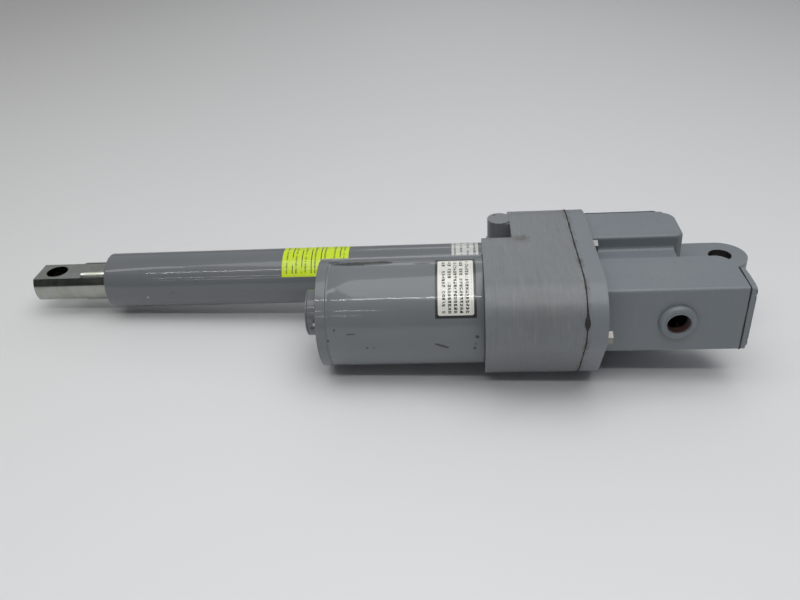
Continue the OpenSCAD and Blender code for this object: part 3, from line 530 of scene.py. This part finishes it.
def softened(node, width, edge="edge_grey", segments=2, wide=None, broad=0.0, skip=None, line=None):
    """A copy of a CAD node with its corners broken by a small round, as a real casting or plate has them.
    Corners that pass `wide` get the round `broad` and those that pass `skip` stay sharp.
    `line` is a turned line to cut, as turned_line takes it."""
    bm = bmesh.new()
    bm.from_mesh(nodes[node].data)
    bmesh.ops.remove_doubles(bm, verts=bm.verts, dist=SAME_POINT)
    bmesh.ops.dissolve_limit(bm, angle_limit=FLAT_ANGLE, verts=bm.verts, edges=bm.edges)

    def corners():
        """The edges of real corners, each with its middle."""
        return [(e, (e.verts[0].co + e.verts[1].co) / 2) for e in bm.edges
                if len(e.link_faces) == 2 and e.calc_face_angle(0) > CORNER_ANGLE]

    if wide:
        outer = [e for e, c in corners() if e.is_convex and wide(c)]
        bmesh.ops.bevel(bm, geom=outer, offset=broad, offset_type="OFFSET", segments=4, profile=0.5,
                        affect="EDGES", clamp_overlap=False, material=-1)
    kept = [e for e, c in corners() if not (skip and skip(c))]
    bmesh.ops.bevel(bm, geom=kept, offset=width, offset_type="OFFSET", segments=segments, profile=0.5,
                    affect="EDGES", clamp_overlap=True, material=1)
    if line:
        turned_line(bm, *line)
    slot = slot_of_node[node]
    obj = placed(node + "_body", bm, body_of_node[node], slot, slot, edge, sharp=50, replaces=(node,))
    even = obj.modifiers.new("even", "WEIGHTED_NORMAL")
    even.keep_sharp = True
    flatten_modifiers(obj)


def turned_line(bm, x, width, depth, axis, radius):
    """Cuts a shallow turned line round the outside of a piece, at x."""
    floor_half = width / 4
    skin = 0.2 * MM
    for at in (x - width / 2, x - floor_half, x + floor_half, x + width / 2):
        whole = bm.verts[:] + bm.edges[:] + bm.faces[:]
        bmesh.ops.bisect_plane(bm, geom=whole, dist=SAME_POINT / 2, plane_co=(at, 0, 0), plane_no=(1, 0, 0))
    for v in bm.verts:
        out = Vector((0, v.co.y - axis[0], v.co.z - axis[1]))
        if abs(v.co.x - x) < 1.2 * floor_half and out.length > radius - skin:
            v.co -= out.normalized() * depth


def circle(count):
    """The cosine and sine of evenly spaced angles round a full turn."""
    return [(math.cos(2 * math.pi * k / count), math.sin(2 * math.pi * k / count)) for k in range(count)]


def skin_rings(bm, rings):
    """Faces between closed rings of vertices that follow each other."""
    for a, b in zip(rings, rings[1:]):
        for k in range(len(a)):
            after = (k + 1) % len(a)
            bm.faces.new((a[k], a[after], b[after], b[k]))


def lathe(bm, profile, axis, turns):
    """Revolves a closed profile of (x, radius) points about an axis along X."""
    rings = [[bm.verts.new((x, axis[0] + r * c, axis[1] + r * s)) for c, s in circle(turns)]
             for x, r in profile]
    skin_rings(bm, rings + rings[:1])
    bmesh.ops.recalc_face_normals(bm, faces=bm.faces)


def arc(x, r, radius, start, end, steps=5):
    """Points of a round of a lathe profile about (x, r), from start to end in degrees from +X towards +r."""
    turns = [math.radians(start + (end - start) * i / steps) for i in range(steps + 1)]
    return [(x + radius * math.cos(a), r + radius * math.sin(a)) for a in turns]


STEEP = 0.9


def sweep(bm, points, radii, sides):
    """A tube along points with its own radius at each, closed at both ends."""
    rings = []
    for i, here in enumerate(points):
        ahead = points[min(i + 1, len(points) - 1)] - points[max(i - 1, 0)]
        steep = abs(ahead.normalized().z) > STEEP
        across = ahead.cross(Vector((1, 0, 0)) if steep else Vector((0, 0, 1))).normalized()
        up = across.cross(ahead).normalized()
        rings.append([bm.verts.new(here + radii[i] * (across * c + up * s)) for c, s in circle(sides)])
    skin_rings(bm, rings)
    bm.faces.new(rings[0][::-1])
    bm.faces.new(rings[-1])
    bmesh.ops.recalc_face_normals(bm, faces=bm.faces)


def threaded_surface(bm, length, root, crest, lead):
    """A screw-thread surface about the X axis, from x = 0 to length: each turn of the grid climbs one lead.
    The profile holds (share of the lead, share of the thread's height)."""
    per_turn = 72
    profile = [(0.0, 0.0), (0.12, 0.0), (0.38, 1.0), (0.62, 1.0), (0.88, 0.0)]
    rows = int(length / lead) * len(profile)
    grid = []
    for i in range(rows + 1):
        turn, step = divmod(i, len(profile))
        part, height = profile[step]
        ring = []
        for k in range(per_turn + 1):
            x = (turn + part + k / per_turn) * lead
            fade = min(1.0, max(0.0, x / lead), max(0.0, (length - x) / lead))
            r = root + (crest - root) * height * fade
            a = 2 * math.pi * k / per_turn
            ring.append(bm.verts.new((min(max(x, 0.0), length), r * math.cos(a), r * math.sin(a))))
        grid.append(ring)
    for a, b in zip(grid, grid[1:]):
        for k in range(per_turn):
            bm.faces.new((a[k], a[k + 1], b[k + 1], b[k]))
    bmesh.ops.remove_doubles(bm, verts=bm.verts, dist=SAME_POINT / 2)
    bmesh.ops.dissolve_degenerate(bm, dist=SAME_POINT / 20, edges=bm.edges)
    bmesh.ops.recalc_face_normals(bm, faces=bm.faces)


# ---------- castings and plates ----------

HOUSING_X = mounts["rear_pivot"]["pos_m"][0] - 119 * MM
HOUSING_TOP = 42.5 * MM
HOUSING_NEAR = -25 * MM
HOUSING_FAR = 20.5 * MM
CASTING_ROUND = 0.9 * MM
BELL_LINE = (bell_lo.x + 4.9 * MM, 0.6 * MM, 0.10 * MM, MOTOR_AXIS, MOTOR_R)


def rear_housing(c):
    """Top and bottom corners of the rear bearing housing, except along the closing plate."""
    return c.x > HOUSING_X and abs(c.z) > HOUSING_TOP and HOUSING_NEAR < c.y < HOUSING_FAR


def bell_joint(c):
    """The edge where the end bell meets the can."""
    return c.x > bell_hi.x - 0.3 * MM


softened("gear_case", CASTING_ROUND)
softened("gear_cover", CASTING_ROUND, wide=rear_housing, broad=2.8 * MM)
softened("switch_cover", 1.1 * MM)
softened("motor_end_bell", 0.6 * MM, edge="bell_grey", skip=bell_joint, line=BELL_LINE)
softened("motor_bearing_cap", 0.4 * MM, edge="bell_grey")
softened("side_cover", 0.4 * MM, edge="side_dark")
softened("rod_end", 1.0 * MM, edge="plated_rod", segments=3)


# ---------- tubes and motor can ----------

def straight(x0, x1, r, pieces):
    """Points of a lathe profile that divide a straight run, without its ends."""
    return [(x0 + (x1 - x0) * k / pieces, r) for k in range(1, pieces)]


def tube_body():
    """The cover tube, with a rounded nose and a small lip inside it."""
    wall = 3.2 * MM
    lip = 0.7 * MM
    nose = 2 * lip
    x0, x1, inner = tube_lo.x, tube_hi.x, TUBE_R - wall
    profile = [(x0, inner + lip), (x0, TUBE_R - nose)]
    profile += arc(x0 + nose, TUBE_R - nose, nose, 180, 90)
    profile += straight(x0, x1, TUBE_R, 8)
    profile += [(x1, TUBE_R), (x1, inner), (x0 + lip, inner)]
    bm = bmesh.new()
    lathe(bm, profile, TUBE_AXIS, turns=192)
    placed("cover_tube_body", bm, "frame", "tube_grey", replaces=("cover_tube",))


def can_body():
    """The can, with a small round at the bell, a rolled line beside it and a round at the gear case."""
    wall = 3.5 * MM
    bell_round, case_round = 0.3 * MM, 0.8 * MM
    line_x, line_half, line_floor, line_depth = can_lo.x + 1.3 * MM, 0.4 * MM, 0.15 * MM, 0.12 * MM
    x0, x1, inner = can_lo.x, can_hi.x, MOTOR_R - wall
    profile = [(x0, inner), (x0, MOTOR_R - bell_round)]
    profile += arc(x0 + bell_round, MOTOR_R - bell_round, bell_round, 180, 90, 3)
    profile += [(line_x - line_half, MOTOR_R), (line_x - line_floor, MOTOR_R - line_depth),
                (line_x + line_floor, MOTOR_R - line_depth), (line_x + line_half, MOTOR_R)]
    profile += straight(x0, x1, MOTOR_R, 6)
    profile += arc(x1 - case_round, MOTOR_R - case_round, case_round, 90, 0)
    profile += [(x1, inner)]
    bm = bmesh.new()
    lathe(bm, profile, MOTOR_AXIS, turns=224)
    placed("motor_can_body", bm, "frame", "motor_grey", replaces=("motor_can",))


tube_body()
can_body()


# ---------- parting line, threads ----------

OUTLINE_STEP = 1.3 * MM
SEAL_SIDES = 8
SHORTEST_SEAL = 3


def outline(node):
    """The outer outline of a node seen along X, evenly stepped, as (y, z) pairs."""
    bm = bmesh.new()
    for v in nodes[node].data.vertices:
        bm.verts.new((0, v.co.y, v.co.z))
    bmesh.ops.remove_doubles(bm, verts=bm.verts, dist=0.01 * MM)
    centre = sum((v.co for v in bm.verts), Vector()) / len(bm.verts)
    hull = bmesh.ops.convex_hull(bm, input=bm.verts)["geom"]
    rim = sorted((v.co.copy() for v in hull if isinstance(v, bmesh.types.BMVert)),
                 key=lambda c: math.atan2(c.z - centre.z, c.y - centre.y))
    bm.free()
    loop = []
    for a, b in zip(rim, rim[1:] + rim[:1]):
        n = max(1, round((b - a).length / OUTLINE_STEP))
        loop += [a + (b - a) * i / n for i in range(n)]
    return [(c.y, c.z) for c in loop]


def gasket_bead():
    """The rubber gasket of the switch box swells a little out of its joint."""
    mean, swell, uneven, wander = 0.70 * MM, 0.12 * MM, 0.05 * MM, 0.08 * MM
    wave = 0.21
    x = middle("switch_gasket").x
    rim = outline("switch_gasket")
    points = [Vector((x + rng.uniform(-wander, wander), y, z)) for y, z in rim + rim[:2]]
    radii = [mean + swell * math.sin(i * wave) + rng.uniform(-uneven, uneven) for i in range(len(points))]
    bm = bmesh.new()
    sweep(bm, points, radii, SEAL_SIDES)
    placed("switch_gasket_bead", bm, "frame", "gasket_black", sharp=80)


def seal_blob(y, z):
    """The thick drop of sealant at the front of the parting line: 1 in its middle, falling to 0 round it."""
    middle_y, middle_z = -135.5 * MM, 31.5 * MM
    reach_y, reach_z = 6.0 * MM, 4.5 * MM
    return math.exp(-(((y - middle_y) / reach_y) ** 2 + ((z - middle_z) / reach_z) ** 2))


def parting_seal():
    """Squeezed-out sealant along the parting line: a thin uneven bead with gaps and one thick blob."""
    mean, swell, uneven, blob = 0.58 * MM, 0.22 * MM, 0.16 * MM, 1.5 * MM
    short_wave, long_wave = 0.37, 0.11
    drift_kept, drift_step = 0.85, 0.07 * MM
    gap_chance, shortest_run, end_radius = 0.035, 5, 0.25 * MM
    rim = outline("case_gasket")
    wander, runs, run = 0.0, [], []
    for i, (y, z) in enumerate(rim + rim[:1]):
        wander = drift_kept * wander + rng.gauss(0, drift_step)
        waves = math.sin(i * short_wave) * math.sin(i * long_wave)
        thick = mean + swell * waves + rng.uniform(-uneven, uneven) + blob * seal_blob(y, z)
        if rng.random() < gap_chance and len(run) > shortest_run:
            runs.append(run)
            run = []
            continue
        run.append((Vector((SEAM_X + wander, y, z)), thick))
    runs.append(run)
    bm = bmesh.new()
    for run in runs:
        if len(run) < SHORTEST_SEAL:
            continue
        radii = [r for _, r in run]
        radii[0] = radii[-1] = end_radius
        sweep(bm, [p for p, _ in run], radii, SEAL_SIDES)
    placed("parting_seal", bm, "frame", "gasket_black", sharp=80)


def conduit_thread():
    """The rusty female thread of the conduit boss, on the mount's own axis."""
    pitch, depth, clear = 1.4 * MM, 0.70 * MM, 0.05 * MM
    mount = mounts["conduit_entry"]
    x, y, z = mount["pos_m"]
    root, length = mount["dims"]["r_mm"] * MM - clear, mount["dims"]["length_mm"] * MM
    bm = bmesh.new()
    threaded_surface(bm, length, root, root - depth, pitch)
    turn = Matrix.Translation((x, y - length / 2, z)) @ Matrix.Rotation(math.pi / 2, 4, "Z")
    bmesh.ops.transform(bm, matrix=turn, verts=bm.verts)
    placed("conduit_thread", bm, "frame", "steel_dark", "thread_rust", sharp=60)


parting_seal()
gasket_bead()
conduit_thread()


# ---------- floor, light and camera ----------

# The part keeps its own frame and the floor tilts under it. The floor's sizes are metres.
FLOOR_TILT = math.radians(2.55)
FLOOR_HALF = 6.0
FLOOR_CELLS = 24
FLOOR_FLAT_TO = 3.0
FLOOR_CURVE = 0.22


def floor():
    """A pale studio floor under the gear case and the front of the cover tube, rising far behind them."""
    bm = bmesh.new()
    bmesh.ops.create_grid(bm, x_segments=FLOOR_CELLS, y_segments=FLOOR_CELLS, size=FLOOR_HALF)
    for v in bm.verts:
        if v.co.y > FLOOR_FLAT_TO:
            v.co.z = FLOOR_CURVE * (v.co.y - FLOOR_FLAT_TO) ** 2
    mesh = bpy.data.meshes.new("studio_floor")
    bm.to_mesh(mesh)
    bm.free()
    mesh.shade_smooth()
    obj = bpy.data.objects.new("studio_floor", mesh)
    bpy.context.scene.collection.objects.link(obj)
    foot = Vector((case_lo.x, 0, case_lo.z))
    obj.matrix_world = Matrix.Translation(foot) @ Matrix.Rotation(FLOOR_TILT, 4, "Y")
    p = Paint("studio_floor")
    # Painted shade: the floor's colour grows darker and warmer towards the left, for light that falls off on
    # that side.
    shaded_warm, lit_cool = rgb(0.775, 0.762, 0.745), rgb(0.815, 0.820, 0.828)
    left_to_right = p.math("ADD", p.xyz()[0], p.noise(p.place, 0.9, 3))
    grit = p.noise(p.place, 220, 3)
    base = p.mix(p.band(left_to_right, -0.6, 0.6), shaded_warm, lit_cool)
    p.done(base, p.band(grit, 0.2, 0.8, 0.5, 0.6), 0.0, p.bump(grit, 0.05 * MM, 0.3))
    dress(obj, "studio_floor")


# soft_top lights the whole, soft_rod puts the bright patch on the rod and soft_back lights the floor behind.
# name, place, aim, size, watts
SOFT_LIGHTS = [("soft_top", (-0.04, -0.28, 1.5), (-0.10, -0.20, 0), (1.5, 1.4), 12.4),
               ("soft_rod", (-1.32, -0.40, 1.5), (-0.70, -0.10, 0), (0.22, 0.60), 1.3),
               ("soft_back", (-0.22, 1.35, 0.9), (-0.22, 1.35, 0), (0.6, 0.5), 1.15)]
# name, angle round X from +Y (0) over the top (90) to the camera (180), distance, x, length, width, watts
STRIP_LIGHTS = [("strip_a", 123, 1.5, -0.28, 1.8, 0.020, 3.6),
                ("strip_b", 146, 1.6, -0.82, 0.72, 0.020, 0.62),
                ("strip_c", 156, 1.6, -0.86, 0.66, 0.015, 0.34)]
STRIP_AIM_Y = -0.04


def area_light(name, place, aim, size, watts):
    data = bpy.data.lights.new(name, "AREA")
    data.shape = "RECTANGLE"
    data.size, data.size_y = size
    data.energy = watts
    obj = bpy.data.objects.new(name, data)
    obj.location = place
    obj.rotation_euler = (Vector(aim) - Vector(place)).to_track_quat("-Z", "Y").to_euler()
    bpy.context.scene.collection.objects.link(obj)


def strip_light(name, angle, distance, x, length, width, watts):
    """A light parallel to X. Its mirror image is one of the thin bright lines along motor and tube."""
    a = math.radians(angle)
    aim = Vector((x, STRIP_AIM_Y, 0.0))
    place = aim + Vector((0, math.cos(a), math.sin(a))) * distance
    area_light(name, place, aim, (length, width), watts)


SKY_BRIGHT_SIDE = (0.1, 0.8, 1.0)
SKY_DIM, SKY_BRIGHT = 0.045, 0.43


def sky():
    """Soft light from all round, brighter from above and behind the part."""
    world = bpy.data.worlds.new("studio")
    bpy.context.scene.world = world
    world.use_nodes = True
    tree = world.node_tree
    background = tree.nodes["Background"]
    place = tree.nodes.new("ShaderNodeTexCoord").outputs["Generated"]
    lean = tree.nodes.new("ShaderNodeVectorMath")
    lean.operation = "DOT_PRODUCT"
    tree.links.new(place, lean.inputs[0])
    lean.inputs[1].default_value = SKY_BRIGHT_SIDE
    ramp = tree.nodes.new("ShaderNodeMapRange")
    ramp.interpolation_type = "SMOOTHSTEP"
    for name, v in (("From Min", 0.0), ("From Max", 1.1), ("To Min", SKY_DIM), ("To Max", SKY_BRIGHT)):
        ramp.inputs[name].default_value = v
    tree.links.new(lean.outputs["Value"], ramp.inputs["Value"])
    tree.links.new(ramp.outputs["Result"], background.inputs["Strength"])
    background.inputs["Color"].default_value = rgb(0.95, 0.98, 1.0)


# The camera's place, directions and lens were fitted to the outlines of tube, motor and case in the photo.
CAMERA_PLACE = (-0.22552, -0.61315, 0.35781)
CAMERA_RIGHT = Vector((0.9963, 0.0568, -0.0645))
CAMERA_UP = Vector((0.0241, 0.5360, 0.8439))
SENSOR_MM = 36.0
LENS_MM = 34.875


def camera():
    back = CAMERA_RIGHT.cross(CAMERA_UP).normalized()
    up = back.cross(CAMERA_RIGHT).normalized()
    data = bpy.data.cameras.new("camera")
    data.sensor_width = SENSOR_MM
    data.lens = LENS_MM
    data.clip_start = 0.02
    obj = bpy.data.objects.new("camera", data)
    turn = Matrix((CAMERA_RIGHT, up, back)).transposed().to_4x4()
    obj.matrix_world = Matrix.Translation(CAMERA_PLACE) @ turn
    bpy.context.scene.collection.objects.link(obj)
    bpy.context.scene.camera = obj


floor()
for light in SOFT_LIGHTS:
    area_light(*light)
for light in STRIP_LIGHTS:
    strip_light(*light)
sky()
camera()
bpy.context.scene.view_settings.view_transform = "Standard"
